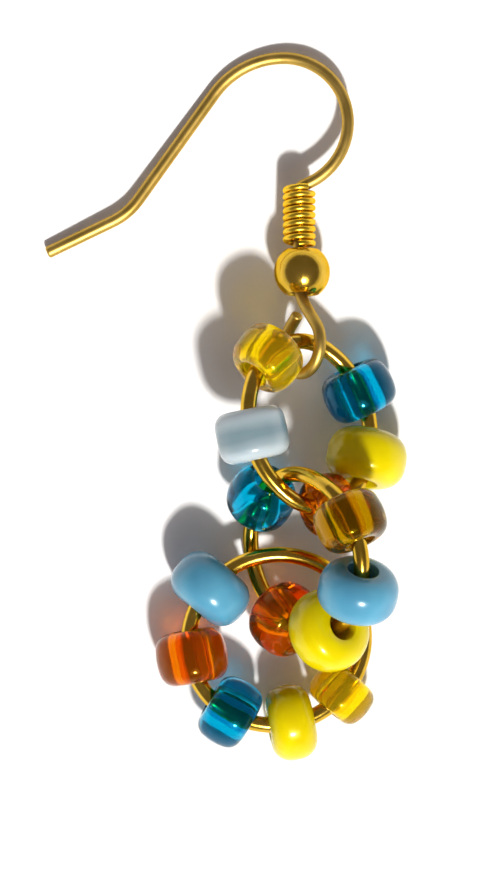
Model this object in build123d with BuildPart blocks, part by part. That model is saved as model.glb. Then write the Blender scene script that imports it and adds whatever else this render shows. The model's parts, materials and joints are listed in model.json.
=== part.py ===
# A glass bead earring, lying on a table: an ear wire with a coil, a ball and an eye, and three wire
# rings that hang in one another, with five glass beads on each.
# X runs to the right, Y up along the earring towards the arch of the ear wire, Z up from the table.
from build123d import *
from math import sqrt
import os

# Ear wire, from its eye up to its tail
hook_wire = 0.65
shank_below_centre = 0.4
neck_radius = 0.45
neck_turn = 70
arch_radius = 3.6
arch_turn = 160.5
shoulder_radius = 4.57
shoulder_turn = 53.6
run_length = 7.1
heel_radius = 3.57
heel_turn = 29.2
tail_length = 3.95
tip_rounding = 0.12

# Eye of the ear wire, a teardrop turned out of the wire's plane to take the first ring
eye_twist = 46
eye_bend_radius = 2.4
eye_bend_turn = 41
eye_side_length = 1.35
eye_radius = 1.55
eye_turn = 268
eye_end_length = 0.85

# Ball and coil that are threaded on the shank
ball_diameter = 3.04
ball_hole = 1.5
ball_rim = 0.12
ball_play = 0.15
coil_wire = 0.35
coil_pitch = 0.385
coil_turns = 8.1
coil_gap = 0.06
coil_clearance = 0.22
coil_overhang = 0.25

# Rings and beads
ring_wire = 0.85
ring_length = 9.1
ring_width = 8.2
bead_diameter = 4.0
bead_length = 2.7
bead_play = 0.35

# Swell of a bead's middle over its ends, and rounding of its outer edge and of its hole's mouth, as
# shares of its length
swell = {"solid": 0.11, "clear": 0.13, "pale": 0.04}
edge_rounding = {"solid": 0.42, "clear": 0.31, "pale": 0.27}
mouth_rounding = 0.05

# How the ear wire lies: the height of its ball's centre, and the slopes of its plane
hook_height = 2.24
hook_slope_x = -7.5
hook_slope_y = -7.0

# How the rings lie, as chosen by eye: centre, turns about X, Y and Z, and the oval's length and
# width as shares of ring_length and ring_width
ring_places = {
    "upper": ((0.39, -8.23, 3.73), (-7.4, 27.8, 15.6), 1.0, 0.895),
    "middle": ((0.19, -15.2, 4.48), (16.8, -50.1, 24.3), 0.958, 1.139),
    "lower": ((-1.38, -19.89, 2.13), (-0.7, 3.5, -68.1), 1.051, 1.117),
}

# The beads of each ring: glass, colour, place as a share of the way round the ring, and the bead's
# diameter and length as shares of bead_diameter and bead_length
bead_places = {
    "upper": [
        ("clear", "yellow", 0.157, 0.95, 0.97),
        ("pale", "blue", 0.335, 0.97, 1.03),
        ("clear", "orange", 0.588, 0.87, 0.85),
        ("solid", "yellow", 0.741, 1.12, 1.08),
        ("clear", "blue", 0.887, 1.00, 1.00),
    ],
    "middle": [
        ("clear", "blue", 0.227, 0.94, 0.96),
        ("clear", "orange", 0.510, 1.02, 0.96),
        ("solid", "yellow", 0.642, 1.15, 1.00),
        ("solid", "blue", 0.778, 1.11, 1.02),
        ("clear", "amber", 0.921, 0.98, 1.00),
    ],
    "lower": [
        ("solid", "blue", 0.451, 1.13, 1.08),
        ("clear", "orange", 0.588, 1.00, 1.08),
        ("clear", "blue", 0.718, 0.96, 0.96),
        ("solid", "yellow", 0.836, 1.04, 0.92),
        ("clear", "yellow", 0.947, 0.88, 0.88),
    ],
}


def onward(line, length):
    """A straight wire that goes on from the end of a line, in the line's direction."""
    return Line(line @ 1, line @ 1 + (line % 1) * length)


def bend(line, radius, turn):
    """An arc of wire that goes on from the end of a line. A positive turn is to the left."""
    return JernArc(line @ 1, line % 1, radius, turn)


def oval(plane, length, width):
    """A closed oval of four arcs of a quarter turn, from its upper right corner round to the left."""
    half_length = length / 2
    half_width = width / 2
    end_radius = (half_width - (sqrt(2) - 1) * half_length) / (2 - sqrt(2))
    side_radius = half_length + half_width - end_radius
    corner = end_radius / sqrt(2)
    with BuildLine(plane) as line:
        top = JernArc((corner, half_length - end_radius + corner), (-1, 1), end_radius, 90)
        left = bend(top, side_radius, 90)
        bottom = bend(left, end_radius, 90)
        bend(bottom, side_radius, 90)
    return line.wire()


def wire_ring(path):
    """A closed ring of round wire."""
    with BuildPart() as ring:
        with BuildSketch(Plane(path @ 0, z_dir=path % 0)):
            Circle(ring_wire / 2)
        sweep(path=path)
    return ring


def bead_on(path, glass, place, wide, long):
    """A drilled bead that sits across the chord of its wire."""
    length = bead_length * long
    outer = bead_diameter * wide / 2
    end = outer - swell[glass] * length
    hole = ring_wire / 2 + bead_play
    reach = length / 3
    middle = place * path.length
    back = path.position_at(middle - reach, position_mode=PositionMode.LENGTH)
    front = path.position_at(middle + reach, position_mode=PositionMode.LENGTH)
    seat = Plane((back + front) / 2, z_dir=front - back)
    with BuildPart() as bead:
        with BuildSketch(Plane(seat.origin, x_dir=seat.x_dir, z_dir=-seat.y_dir)) as profile:
            with BuildLine():
                side = ThreePointArc((end, -length / 2), (outer, 0), (end, length / 2))
                Polyline(side @ 1, (hole, length / 2), (hole, -length / 2), side @ 0)
            make_face()
            fillet(profile.vertices().group_by(SortBy.DISTANCE)[-1], edge_rounding[glass] * length)
            fillet(profile.vertices().group_by(SortBy.DISTANCE)[0], mouth_rounding * length)
        revolve(axis=Axis(seat.origin, seat.z_dir))
    return bead


# Plane of the ear wire, through the middle of the ball, and plane of its eye, through the shank
hook_plane = Plane(Location((0, 0, hook_height), (hook_slope_x, hook_slope_y, 0)))
eye_plane = Plane(hook_plane.location * Location((-ball_play, 0, 0), (0, -eye_twist, 0)))

# The coil stands just clear of the ball's rim, and the shank bends out of its last turn
coil_radius = hook_wire / 2 + coil_clearance + coil_wire / 2
ball_top = sqrt((ball_diameter / 2) ** 2 - (ball_hole / 2 + ball_rim) ** 2)
coil_foot = ball_top + coil_gap + coil_wire / 2
coil_height = coil_pitch * coil_turns
shank_top = coil_foot + coil_height - coil_overhang

with BuildLine(hook_plane) as hook_line:
    straight = Line((-ball_play, -shank_below_centre), (-ball_play, shank_top))
    neck = bend(straight, neck_radius, -neck_turn)
    arch = bend(neck, arch_radius, arch_turn)
    shoulder = bend(arch, shoulder_radius, shoulder_turn)
    run = onward(shoulder, run_length)
    heel = bend(run, heel_radius, -heel_turn)
    onward(heel, tail_length)

with BuildLine(eye_plane) as eye_line:
    start = JernArc((0, -shank_below_centre), (0, -1), eye_bend_radius, eye_bend_turn)
    side = onward(start, eye_side_length)
    round_end = bend(side, eye_radius, -eye_turn)
    onward(round_end, eye_end_length)

# Ear hook: one wire, with its eye
hook_path = Wire(hook_line.edges() + eye_line.edges())
with BuildPart() as ear_hook:
    with BuildSketch(Plane(hook_path @ 0, z_dir=hook_path % 0)):
        Circle(hook_wire / 2)
    sweep(path=hook_path)
    ends = ear_hook.faces().filter_by(GeomType.PLANE)
    fillet(ends.edges(), tip_rounding)

# Ball, drilled through and loose on the shank
with BuildPart(Plane(hook_plane.origin, z_dir=hook_plane.y_dir)) as hook_ball:
    Sphere(ball_diameter / 2)
    Cylinder(ball_hole / 2, ball_diameter, mode=Mode.SUBTRACT)
    rims = hook_ball.edges().filter_by(GeomType.CIRCLE)
    fillet(rims, ball_rim)

# Coil of fine wire round the shank
with BuildPart() as hook_coil:
    with BuildLine() as coil_line:
        Helix(
            pitch=coil_pitch,
            height=coil_height,
            radius=coil_radius,
            center=hook_plane.from_local_coords((-ball_play, coil_foot, 0)),
            direction=hook_plane.y_dir,
        )
    coil_path = coil_line.wire()
    with BuildSketch(Plane(coil_path @ 0, z_dir=coil_path % 0)):
        Circle(coil_wire / 2)
    sweep(path=coil_path, is_frenet=True)

pieces = {"ear_hook": ear_hook, "hook_ball": hook_ball, "hook_coil": hook_coil}

# Rings and the beads on them
for level, (centre, turns, length_share, width_share) in ring_places.items():
    path = oval(Plane(Location(centre, turns)), ring_length * length_share, ring_width * width_share)
    pieces[f"ring_{level}"] = wire_ring(path)
    for glass, colour, place, wide, long in bead_places[level]:
        pieces[f"bead_{level}_{glass}_{colour}"] = bead_on(path, glass, place, wide, long)

# The origin lies on the table, under the middle of the whole earring
reach = Compound([piece.part for piece in pieces.values()]).bounding_box()
to_origin = Location((-reach.center().X, -reach.center().Y, -reach.min.Z))

os.makedirs("parts", exist_ok=True)
for name, piece in pieces.items():
    piece.part.move(to_origin)
    piece.part.label = name
    export_step(piece.part, f"parts/{name}.step")
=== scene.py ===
# The looks of the glass bead earring, in metres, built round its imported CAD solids.
import json
import math

import bpy
import numpy as np
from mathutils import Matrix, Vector


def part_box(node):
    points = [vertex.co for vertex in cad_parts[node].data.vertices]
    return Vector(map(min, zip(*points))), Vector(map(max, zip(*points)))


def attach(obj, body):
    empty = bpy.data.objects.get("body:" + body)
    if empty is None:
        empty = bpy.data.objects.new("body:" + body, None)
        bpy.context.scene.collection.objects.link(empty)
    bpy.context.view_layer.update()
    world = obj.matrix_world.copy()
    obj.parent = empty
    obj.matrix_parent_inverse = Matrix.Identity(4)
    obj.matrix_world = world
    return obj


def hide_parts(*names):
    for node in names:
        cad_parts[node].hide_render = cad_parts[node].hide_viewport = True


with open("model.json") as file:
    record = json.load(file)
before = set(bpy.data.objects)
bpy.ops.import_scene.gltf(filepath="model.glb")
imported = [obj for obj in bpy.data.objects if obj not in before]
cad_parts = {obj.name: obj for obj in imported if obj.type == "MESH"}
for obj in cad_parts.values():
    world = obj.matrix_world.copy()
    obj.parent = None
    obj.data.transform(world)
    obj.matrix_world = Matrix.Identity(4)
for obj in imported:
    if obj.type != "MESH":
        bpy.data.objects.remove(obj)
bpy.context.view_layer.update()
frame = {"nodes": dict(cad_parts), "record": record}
nodes = frame["nodes"]
node_slots = {part["node"]: part["material_slot"] for part in frame["record"]["subparts"]}
scene = bpy.context.scene
MM = 0.001


def add_object(name, data):
    """A new object in the scene, for a mesh, a light or a camera."""
    added = bpy.data.objects.new(name, data)
    scene.collection.objects.link(added)
    return added


# Materials

GOLD_EDGE_TINT = (1.0, 0.78, 0.35)
GLASS_IOR = 1.52
STREAK_PALENESS = 1.08  # how much paler a clear glass is where it is palest
CLOUD_SHARE = 0.5  # how far clouds shift the milky glass's ends, as a share of its half length


def new_material(name):
    """A material with one Principled shader, and its node tree's nodes and links."""
    material = bpy.data.materials.new(name)
    material.use_nodes = True
    tree = material.node_tree
    return material, tree.nodes, tree.links, tree.nodes["Principled BSDF"]


def add_noise(tree_nodes, tree_links, scale, detail, seed_shift=0.0):
    """A noise fixed to the object's own coordinates, with features of about 1 / scale metres."""
    place = tree_nodes.new("ShaderNodeTexCoord")
    mapping = tree_nodes.new("ShaderNodeMapping")
    mapping.inputs["Location"].default_value = (seed_shift, seed_shift, seed_shift)
    noise = tree_nodes.new("ShaderNodeTexNoise")
    noise.inputs["Scale"].default_value = scale
    noise.inputs["Detail"].default_value = detail
    tree_links.new(place.outputs["Object"], mapping.inputs["Vector"])
    tree_links.new(mapping.outputs["Vector"], noise.inputs["Vector"])
    return noise.outputs["Fac"]


def ramp_between(tree_nodes, tree_links, source, low, high, start=0.35, end=0.65):
    """A colour that goes from low to high as the source goes from start to end."""
    ramp = tree_nodes.new("ShaderNodeValToRGB")
    ramp.color_ramp.elements[0].position = start
    ramp.color_ramp.elements[0].color = (*low, 1)
    ramp.color_ramp.elements[1].position = end
    ramp.color_ramp.elements[1].color = (*high, 1)
    tree_links.new(source, ramp.inputs["Fac"])
    return ramp.outputs["Color"]


def add_bump(tree_nodes, tree_links, shader, height, distance, strength):
    """Roughens a shader's normal by a height."""
    bump = tree_nodes.new("ShaderNodeBump")
    bump.inputs["Strength"].default_value = strength
    bump.inputs["Distance"].default_value = distance
    tree_links.new(height, bump.inputs["Height"])
    tree_links.new(bump.outputs["Normal"], shader.inputs["Normal"])


def gold_plate(name, dark, light, smoothest, roughest):
    """Gold plate that is a little worn, so that its colour and its gloss vary."""
    material, tree_nodes, tree_links, shader = new_material(name)
    shader.inputs["Metallic"].default_value = 1.0
    shader.inputs["Specular Tint"].default_value = (*GOLD_EDGE_TINT, 1)
    wear = add_noise(tree_nodes, tree_links, scale=900, detail=3)
    colour = ramp_between(tree_nodes, tree_links, wear, dark, light)
    tree_links.new(colour, shader.inputs["Base Color"])
    spread = tree_nodes.new("ShaderNodeMapRange")
    spread.inputs["To Min"].default_value = smoothest
    spread.inputs["To Max"].default_value = roughest
    tree_links.new(wear, spread.inputs["Value"])
    tree_links.new(spread.outputs["Result"], shader.inputs["Roughness"])
    dents = add_noise(tree_nodes, tree_links, scale=2500, detail=2, seed_shift=3.0)
    add_bump(tree_nodes, tree_links, shader, dents, distance=0.02 * MM, strength=0.25)
    return material


def clear_glass(name, tint, loss, shine, clear, waves=0.09, lamp_share=0.10):
    """Coloured glass. Part of a lamp's light goes straight through it to the shadow.

    The tint is what one pass through a surface leaves, and the loss is how fast red, green and
    blue light are lost between the surfaces, a millimetre. The shine is the colour of what the
    surface reflects. What isn't clear is cloudy. The waves are the height of the surface's
    ripples, in millimetres, and the lamp share is how much of a lamp's light goes through."""
    material, tree_nodes, tree_links, shader = new_material(name)
    flow = add_noise(tree_nodes, tree_links, scale=500, detail=2, seed_shift=1.0)
    paler = tuple(min(1.0, share * STREAK_PALENESS) for share in tint)
    colour = ramp_between(tree_nodes, tree_links, flow, tint, paler)
    tree_links.new(colour, shader.inputs["Base Color"])
    shader.inputs["Transmission Weight"].default_value = clear
    shader.inputs["IOR"].default_value = GLASS_IOR
    shader.inputs["Roughness"].default_value = 0.07
    shader.inputs["Specular Tint"].default_value = (*shine, 1)
    ripples = add_noise(tree_nodes, tree_links, scale=700, detail=1)
    add_bump(tree_nodes, tree_links, shader, ripples, distance=waves * MM, strength=0.5)
    depth = tree_nodes.new("ShaderNodeVolumeAbsorption")
    most = max(loss)
    depth.inputs["Color"].default_value = (*(1 - share / most for share in loss), 1)
    depth.inputs["Density"].default_value = most / MM
    output = tree_nodes["Material Output"]
    tree_links.new(depth.outputs["Volume"], output.inputs["Volume"])
    path = tree_nodes.new("ShaderNodeLightPath")
    through = tree_nodes.new("ShaderNodeBsdfTransparent")
    through.inputs["Color"].default_value = (lamp_share, lamp_share, lamp_share, 1)
    mix = tree_nodes.new("ShaderNodeMixShader")
    tree_links.new(path.outputs["Is Shadow Ray"], mix.inputs["Fac"])
    tree_links.new(shader.outputs["BSDF"], mix.inputs[1])
    tree_links.new(through.outputs["BSDF"], mix.inputs[2])
    tree_links.new(mix.outputs["Shader"], output.inputs["Surface"])
    return material


def solid_glass(name, colour, streak, shine, glow):
    """Opaque glass, a little streaky, with light that spreads a short way under its surface."""
    material, tree_nodes, tree_links, shader = new_material(name)
    streaks = add_noise(tree_nodes, tree_links, scale=420, detail=2)
    mixed = ramp_between(tree_nodes, tree_links, streaks, streak, colour)
    tree_links.new(mixed, shader.inputs["Base Color"])
    shader.inputs["Roughness"].default_value = 0.22
    shader.inputs["Coat Weight"].default_value = 0.3
    shader.inputs["Coat Roughness"].default_value = 0.15
    shader.inputs["IOR"].default_value = 1.45
    shader.inputs["Specular Tint"].default_value = (*shine, 1)
    shader.inputs["Subsurface Weight"].default_value = glow
    shader.inputs["Subsurface Radius"].default_value = (0.6, 0.6, 0.6)
    shader.inputs["Subsurface Scale"].default_value = 1.0 * MM
    return material


def milky_glass(name, middle, ends):
    """Milky glass, with painted shade darkening the bead's middle where the wire shows through,
    and painted light making its ends pale.

    Clouds shift where it turns pale, by up to a share of half the bead's length."""
    material, tree_nodes, tree_links, shader = new_material(name)
    place = tree_nodes.new("ShaderNodeAttribute")
    place.attribute_name = "end_share"
    clouds = add_noise(tree_nodes, tree_links, scale=350, detail=2)
    blend = tree_nodes.new("ShaderNodeMath")
    blend.operation = "MULTIPLY_ADD"
    blend.inputs[1].default_value = CLOUD_SHARE
    tree_links.new(clouds, blend.inputs[0])
    tree_links.new(place.outputs["Fac"], blend.inputs[2])
    # Painted shade in the bead's middle, turning to painted light at its ends
    mixed = ramp_between(tree_nodes, tree_links, blend.outputs["Value"], middle, ends,
                         start=0.4, end=1.0)
    tree_links.new(mixed, shader.inputs["Base Color"])
    shader.inputs["Roughness"].default_value = 0.18
    shader.inputs["IOR"].default_value = GLASS_IOR
    shader.inputs["Transmission Weight"].default_value = 0.2
    shader.inputs["Subsurface Weight"].default_value = 1.0
    shader.inputs["Subsurface Radius"].default_value = (0.8, 0.9, 1.0)
    shader.inputs["Subsurface Scale"].default_value = 0.6 * MM
    return material


def table_paper():
    """White paper, hardly mottled by its fibres."""
    material, tree_nodes, tree_links, shader = new_material("table_paper")
    fibres = add_noise(tree_nodes, tree_links, scale=1500, detail=4)
    colour = ramp_between(tree_nodes, tree_links, fibres,
                          (0.955, 0.955, 0.955), (0.965, 0.965, 0.965))
    tree_links.new(colour, shader.inputs["Base Color"])
    shader.inputs["Roughness"].default_value = 0.9
    shader.inputs["Specular IOR Level"].default_value = 0.2
    return material


# One material for each material slot of the record
looks = {
    "gold_plate": gold_plate(
        "gold_plate", dark=(0.62, 0.39, 0.035), light=(0.76, 0.49, 0.07),
        smoothest=0.12, roughest=0.22),
    "clear_yellow_glass": clear_glass(
        "clear_yellow_glass", tint=(1.0, 0.83, 0.02), loss=(0.01, 0.10, 1.10),
        shine=(1.0, 0.9, 0.05), clear=0.91, waves=0.2, lamp_share=0.05),
    "clear_orange_glass": clear_glass(
        "clear_orange_glass", tint=(0.90, 0.36, 0.01), loss=(0.05, 0.30, 1.00),
        shine=(1.0, 0.5, 0.05), clear=0.95),
    "clear_amber_glass": clear_glass(
        "clear_amber_glass", tint=(0.86, 0.66, 0.005), loss=(0.30, 0.46, 1.50),
        shine=(1.0, 0.7, 0.02), clear=0.98),
    "clear_blue_glass": clear_glass(
        "clear_blue_glass", tint=(0.005, 0.51, 0.74), loss=(1.20, 0.14, 0.08),
        shine=(0.03, 0.6, 0.9), clear=0.98),
    "solid_yellow_glass": solid_glass(
        "solid_yellow_glass", colour=(0.72, 0.60, 0.0), streak=(0.62, 0.49, 0.0),
        shine=(1.0, 0.9, 0.10), glow=0.6),
    "solid_blue_glass": solid_glass(
        "solid_blue_glass", colour=(0.10, 0.34, 0.49), streak=(0.07, 0.27, 0.42),
        shine=(0.8, 0.95, 1.0), glow=0.25),
    # The pale blue glass's middle colour is painted shade and its ends' colour is painted light
    "pale_blue_glass": milky_glass(
        "pale_blue_glass", middle=(0.27, 0.38, 0.42), ends=(0.56, 0.65, 0.69)),
}

# These two have the same plate as the rings. The coil's copy is brighter, painted light over the
# shade between its turns, and the ear wire's copy is rougher and duller, with a paler colour that
# is a painted reflection of the bright room
gold_with_painted_light = {
    "ear_hook": gold_plate(
        "satin_gold_painted_reflection", dark=(0.50, 0.335, 0.075), light=(0.60, 0.405, 0.10),
        smoothest=0.38, roughest=0.52),
    "hook_coil": gold_plate(
        "painted_light_gold", dark=(0.82, 0.54, 0.03), light=(0.96, 0.64, 0.06),
        smoothest=0.24, roughest=0.36),
}


# Beads

# Swell of a bead's middle over its ends, and rounding of its outer edge, as shares of its length
SWELL = {"solid": 0.11, "clear": 0.13, "pale": 0.04}
EDGE_ROUNDING = {"solid": 0.42, "clear": 0.31, "pale": 0.27}

# How far a hole widens at its mouth, in millimetres, and how deep, as a share of the bead's length
MOUTH_SPREAD = 0.12
MOUTH_DEPTH = 0.2

# The most that a bead is oval, three-sided, tapered and slanted at its ends, as shares of its
# radius and, for the slant, of its half length
OVAL = 0.012
THREE_SIDED = 0.010
TAPER = 0.03
SLANT = 0.018
WOBBLE_SEED = 50


def revolved_shape(node):
    """The axis, middle, outer and hole radius and length of a drilled bead, from its solid.

    A turning motion about the bead's own axis leaves its surface where it is, and that motion is
    the one that the faces' normals allow best."""
    faces = node.data.polygons
    centres = np.array([face.center for face in faces]) / MM
    normals = np.array([face.normal for face in faces])
    areas = np.array([face.area for face in faces])
    rough_middle = centres.mean(axis=0)
    lever = centres - rough_middle
    motions = np.hstack([np.cross(lever, normals), normals]) * np.sqrt(areas)[:, None]
    best = np.linalg.svd(motions, full_matrices=False)[2][-1]
    turn, drift = best[:3], best[3:]
    axis = turn / np.linalg.norm(turn)
    on_axis = np.cross(turn, drift) / turn.dot(turn) + rough_middle
    points = np.array([vertex.co for vertex in node.data.vertices]) / MM - on_axis
    along = points @ axis
    away = np.linalg.norm(points - np.outer(along, axis), axis=1)
    middle = on_axis + axis * (along.max() + along.min()) / 2
    return axis, middle, away.max(), away.min(), along.max() - along.min()


def bead_profile(outer, hole, length, swell, edge, steps):
    """The outline of half a bead's section, as (radius, height) points, closed.

    Its side swells, its outer edges are round, and its hole widens gently towards its mouths."""
    half = length / 2
    side_radius = (half**2 + swell**2) / (2 * swell)
    side_centre = outer - side_radius
    edge_height = half - edge
    edge_centre = side_centre + math.sqrt((side_radius - edge) ** 2 - edge_height**2)
    side_turn = math.degrees(math.atan2(edge_height, edge_centre - side_centre))
    wide = MOUTH_SPREAD
    deep = MOUTH_DEPTH * length
    # Each bend: its centre's radius and height, its reach across and along, and where it turns
    bends = [
        (side_centre, 0, side_radius, side_radius, -side_turn, side_turn),
        (edge_centre, edge_height, edge, edge, side_turn, 90),
        (hole + wide, half - deep, wide, deep, 90, 180),
        (hole + wide, deep - half, wide, deep, 180, 270),
        (edge_centre, -edge_height, edge, edge, 270, 360 - side_turn),
    ]
    outline = []
    for radius, height, across, along, start, end in bends:
        for angle in np.radians(np.linspace(start, end, steps)[:-1]):
            outline.append((radius + across * math.cos(angle), height + along * math.sin(angle)))
    return np.array(outline)


def wave(angles):
    """A wave between nothing and one."""
    return 0.5 + 0.5 * np.cos(angles)


def bead_mesh(name, outline, axis, middle, wobble, turns=120):
    """A bead turned from its outline, a little uneven all round, and never outside its outline."""
    across = np.cross(axis, (0.0, 0.0, 1.0))
    across /= np.linalg.norm(across)
    other = np.cross(axis, across)
    angles = np.linspace(0, 2 * math.pi, turns, endpoint=False)[:, None]
    radius = outline[:, 0][None, :]
    height = outline[:, 1][None, :]
    outer = radius.max()
    half = height.max()
    phases = wobble.uniform(0, 2 * math.pi, 4)
    lean = wobble.uniform(0.0, TAPER)
    uneven = OVAL * wave(2 * angles + phases[0]) + THREE_SIDED * wave(3 * angles + phases[1])
    taper = lean * (0.5 + 0.5 * height / half * math.cos(phases[2]))
    share = np.clip((radius - radius.min()) / (outer - radius.min()), 0, 1)
    radius = radius * (1 - share * (uneven + taper))
    slant = SLANT * wave(angles + phases[3])
    height = height * (1 - slant * np.clip(np.abs(height) / half, 0, 1))
    points = (
        middle
        + (radius * np.cos(angles))[..., None] * across
        + (radius * np.sin(angles))[..., None] * other
        + height[..., None] * axis
    )
    count = outline.shape[0]
    vertices = points.reshape(-1, 3) * MM
    faces = []
    for turn in range(turns):
        for step in range(count):
            here, there = turn * count, (turn + 1) % turns * count
            after = (step + 1) % count
            faces.append((here + step, there + step, there + after, here + after))
    mesh = bpy.data.meshes.new(name)
    mesh.from_pydata(vertices.tolist(), [], faces)
    mesh.polygons.foreach_set("use_smooth", [True] * len(faces))
    end_share = mesh.attributes.new("end_share", "FLOAT", "POINT")
    end_share.data.foreach_set("value", np.abs(height).ravel() / half)
    mesh.update()
    return mesh


def dress_bead(number, name, node):
    """Puts a finer bead where its CAD bead is."""
    glass = name.split("_")[2]
    axis, middle, outer, hole, length = revolved_shape(node)
    swell = SWELL[glass] * length
    edge = EDGE_ROUNDING[glass] * length
    outline = bead_profile(outer, hole, length, swell, edge, steps=13)
    wobble = np.random.default_rng(WOBBLE_SEED + number)
    fine_name = f"fine_{name}"
    bead = add_object(fine_name, bead_mesh(fine_name, outline, axis, middle, wobble))
    slot = node_slots[name]
    bead.data.materials.append(looks[slot])
    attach(bead, "root")
    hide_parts(name)


for number, (name, node) in enumerate(sorted(nodes.items())):
    if name.startswith("bead_"):
        dress_bead(number, name, node)
    else:
        node.data.materials.clear()
        node.data.materials.append(gold_with_painted_light.get(name, looks[node_slots[name]]))


# Table

FLOOR_RADIUS = 1.2
FLOOR_SIDES = 96
floor_edge = [
    (FLOOR_RADIUS * math.cos(angle), FLOOR_RADIUS * math.sin(angle), 0)
    for angle in np.linspace(0, 2 * math.pi, FLOOR_SIDES + 1)[:-1]
]
floor_mesh = bpy.data.meshes.new("table")
floor_mesh.from_pydata(floor_edge, [], [tuple(range(FLOOR_SIDES))])
floor = add_object("table", floor_mesh)
floor.data.materials.append(table_paper())


# Sun, with its angles in degrees

KEY_TILT = 39
KEY_AZIMUTH = 14
KEY_WIDTH = 5
KEY_ENERGY = 3.8
KEY_COLOUR = (1.0, 0.98, 0.95)
key_data = bpy.data.lights.new("key", "SUN")
key_data.energy = KEY_ENERGY
key_data.angle = math.radians(KEY_WIDTH)
key_data.color = KEY_COLOUR
key = add_object("key", key_data)
key.rotation_euler = (math.radians(KEY_TILT), 0, math.radians(KEY_AZIMUTH))


# Room, bright near the horizon and darker overhead, with a glow round the sun

# Heights of a direction of length one, from 0 at the horizon to 1 straight above
HORIZON_END = 0.18
OVERHEAD_START = 0.30
HORIZON_COLOUR = (0.90, 0.88, 0.90)
OVERHEAD_COLOUR = (0.164, 0.143, 0.152)

# Angles from the sun, in degrees
GLOW_REACH = 17
GLOW_CORE = 9
GLOW_COLOUR = (3.0, 2.9, 2.7)

world = bpy.data.worlds.new("room")
scene.world = world
world.use_nodes = True
world_nodes = world.node_tree.nodes
world_links = world.node_tree.links
direction = world_nodes.new("ShaderNodeTexCoord").outputs["Generated"]
parts = world_nodes.new("ShaderNodeSeparateXYZ")
world_links.new(direction, parts.inputs["Vector"])
sky = ramp_between(world_nodes, world_links, parts.outputs["Z"], HORIZON_COLOUR, OVERHEAD_COLOUR,
                   start=HORIZON_END, end=OVERHEAD_START)
towards = world_nodes.new("ShaderNodeVectorMath")
towards.operation = "DOT_PRODUCT"
towards.inputs[1].default_value = key.rotation_euler.to_matrix() @ Vector((0, 0, 1))
world_links.new(direction, towards.inputs[0])
glow = ramp_between(world_nodes, world_links, towards.outputs["Value"], (0, 0, 0), GLOW_COLOUR,
                    start=math.cos(math.radians(GLOW_REACH)),
                    end=math.cos(math.radians(GLOW_CORE)))
both = world_nodes.new("ShaderNodeVectorMath")
both.operation = "ADD"
world_links.new(sky, both.inputs[0])
world_links.new(glow, both.inputs[1])
world_links.new(both.outputs["Vector"], world_nodes["Background"].inputs["Color"])
world_nodes["Background"].inputs["Strength"].default_value = 1.0


# Camera, straight above, with the ball where the photograph has it

PHOTO_WIDTH, PHOTO_HEIGHT = 494, 877
PIXELS_PER_MM = 18.5  # at the height of the ball's middle
BALL_IN_PHOTO = (302, 272)
CAMERA_HEIGHT = 0.45
SENSOR_WIDTH = 36  # in millimetres, along the longer side of the photograph
ball_low, ball_high = (Vector(corner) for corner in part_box("hook_ball"))
ball = (ball_low + ball_high) / 2
view_x = ball.x - (BALL_IN_PHOTO[0] - PHOTO_WIDTH / 2) / PIXELS_PER_MM * MM
view_y = ball.y + (BALL_IN_PHOTO[1] - PHOTO_HEIGHT / 2) / PIXELS_PER_MM * MM
view_length = PHOTO_HEIGHT / PIXELS_PER_MM * MM
camera_data = bpy.data.cameras.new("camera")
camera_data.sensor_width = SENSOR_WIDTH
camera_data.lens = SENSOR_WIDTH * (CAMERA_HEIGHT - ball.z) / view_length
camera_data.clip_start = 0.01
camera_data.clip_end = 5
camera = add_object("camera", camera_data)
camera.location = (view_x, view_y, CAMERA_HEIGHT)
scene.camera = camera
scene.view_settings.view_transform = "Standard"
scene.view_settings.look = "None"
